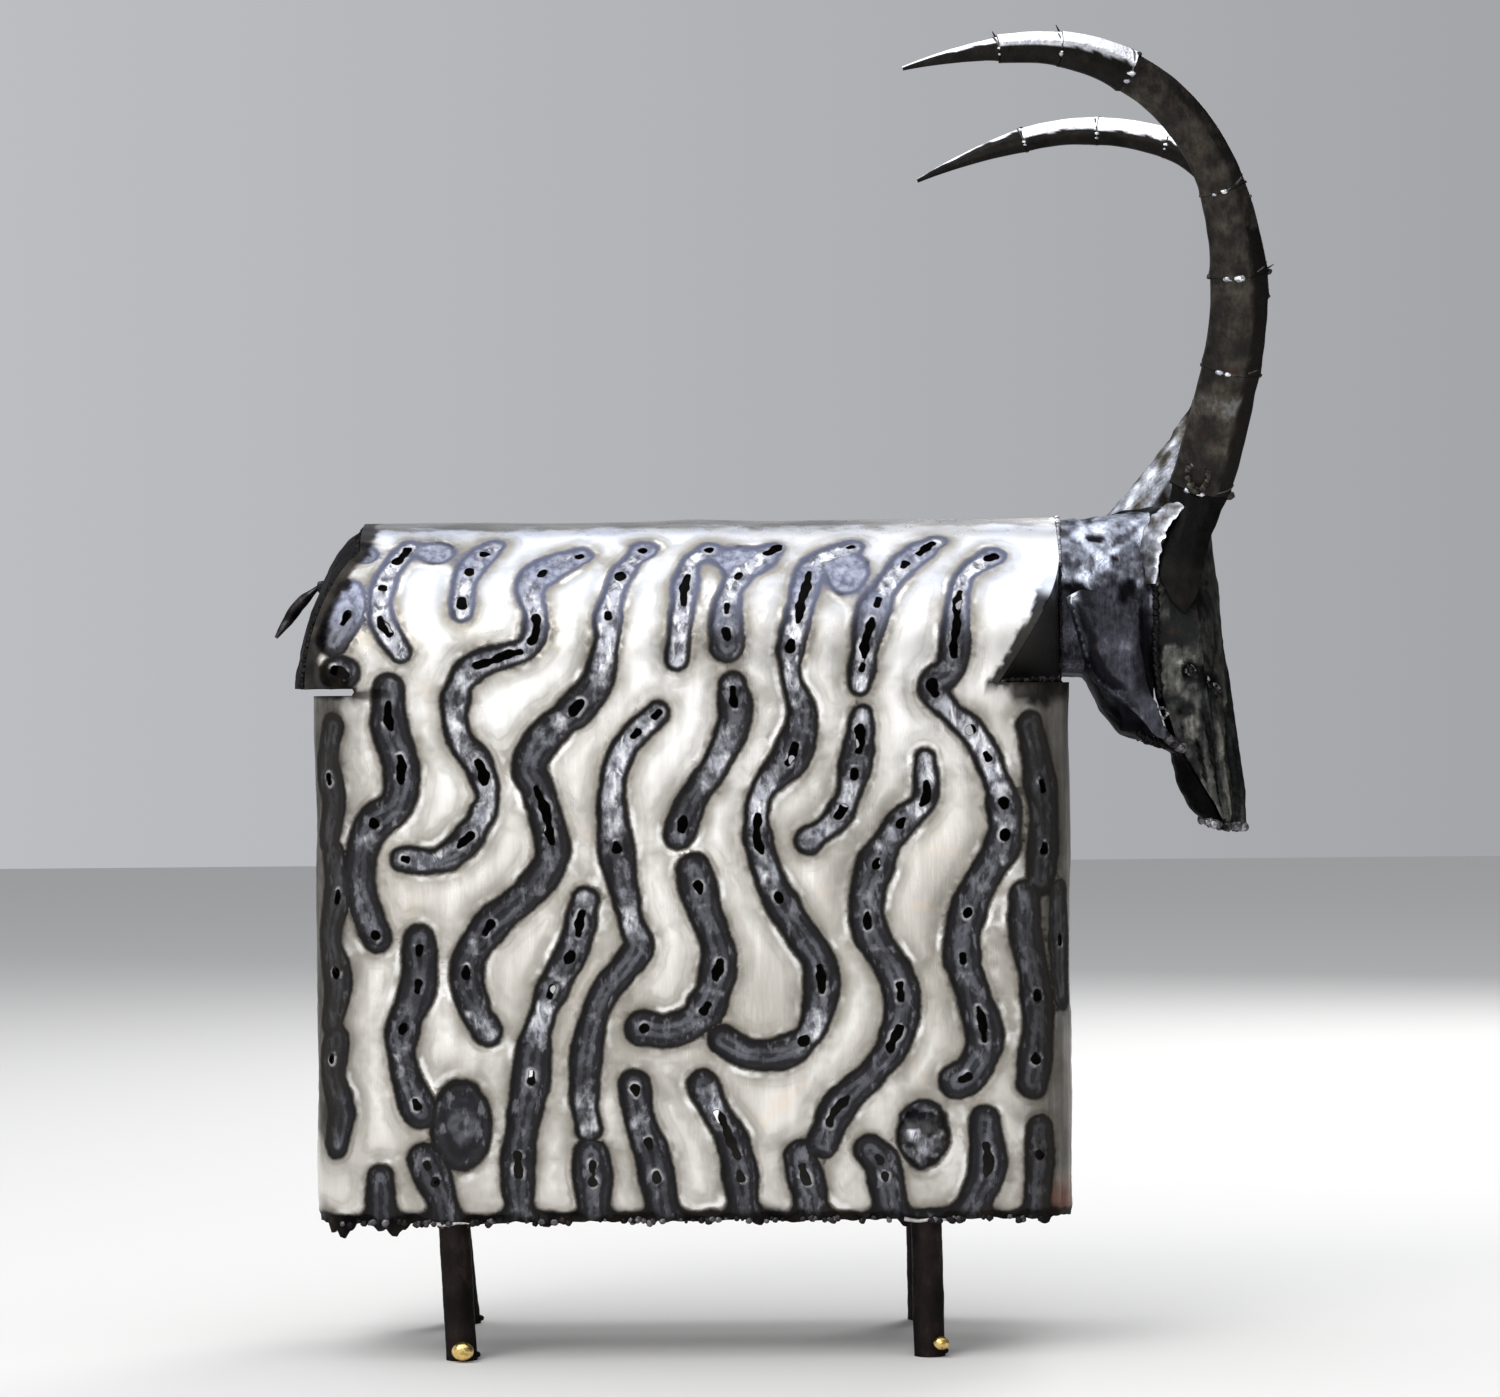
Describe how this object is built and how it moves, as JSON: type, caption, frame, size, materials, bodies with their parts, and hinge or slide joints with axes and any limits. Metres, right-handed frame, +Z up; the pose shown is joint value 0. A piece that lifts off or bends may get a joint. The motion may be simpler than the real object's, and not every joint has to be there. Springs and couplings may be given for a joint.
{
  "type": "metal ram sculpture",
  "caption": "Goat-like ram figure in welded sheet steel: a hollow box body pierced by wavy cuts, bar legs, a plate head and long back-swept horns.",
  "frame": {"origin": "on the ground, under the centre of the bounding box", "axes": "+Z up, +X toward the head, -Y the side of the near horn, which leans out to that side"},
  "size_m": [0.4168, 0.1823, 0.5283],
  "materials": {
    "polished_steel": "bright brushed sheet with brown and grey heat tint along the torch cuts",
    "blackened_steel": "heat-blackened satin sheet",
    "blued_steel": "heat-blued grey sheet with crude weld runs",
    "black_bar": "black-brown mill scale on round bar",
    "brass": "bright brazing drops"
  },
  "bodies": {
    "root": {"body_shell": "polished_steel", "braze_bead_far_front": "brass", "braze_bead_far_rear": "brass", "braze_bead_near_front": "brass", "braze_bead_near_rear": "brass", "cheek_far": "blued_steel", "cheek_near": "blued_steel", "face": "blued_steel", "horn_far_1": "blackened_steel", "horn_far_2": "blackened_steel", "horn_far_3": "blackened_steel", "horn_far_4": "blackened_steel", "horn_far_5": "blackened_steel", "horn_far_6": "blackened_steel", "horn_far_root": "blackened_steel", "horn_near_1": "blackened_steel", "horn_near_2": "blackened_steel", "horn_near_3": "blackened_steel", "horn_near_4": "blackened_steel", "horn_near_5": "blackened_steel", "horn_near_6": "blackened_steel", "horn_near_7": "blackened_steel", "horn_near_root": "blackened_steel", "jaw": "blackened_steel", "leg_far_front": "black_bar", "leg_far_rear": "black_bar", "leg_near_front": "black_bar", "leg_near_rear": "black_bar", "neck": "blued_steel", "rump_plate": "blackened_steel", "tail": "blackened_steel"}
  },
  "joints": []
}
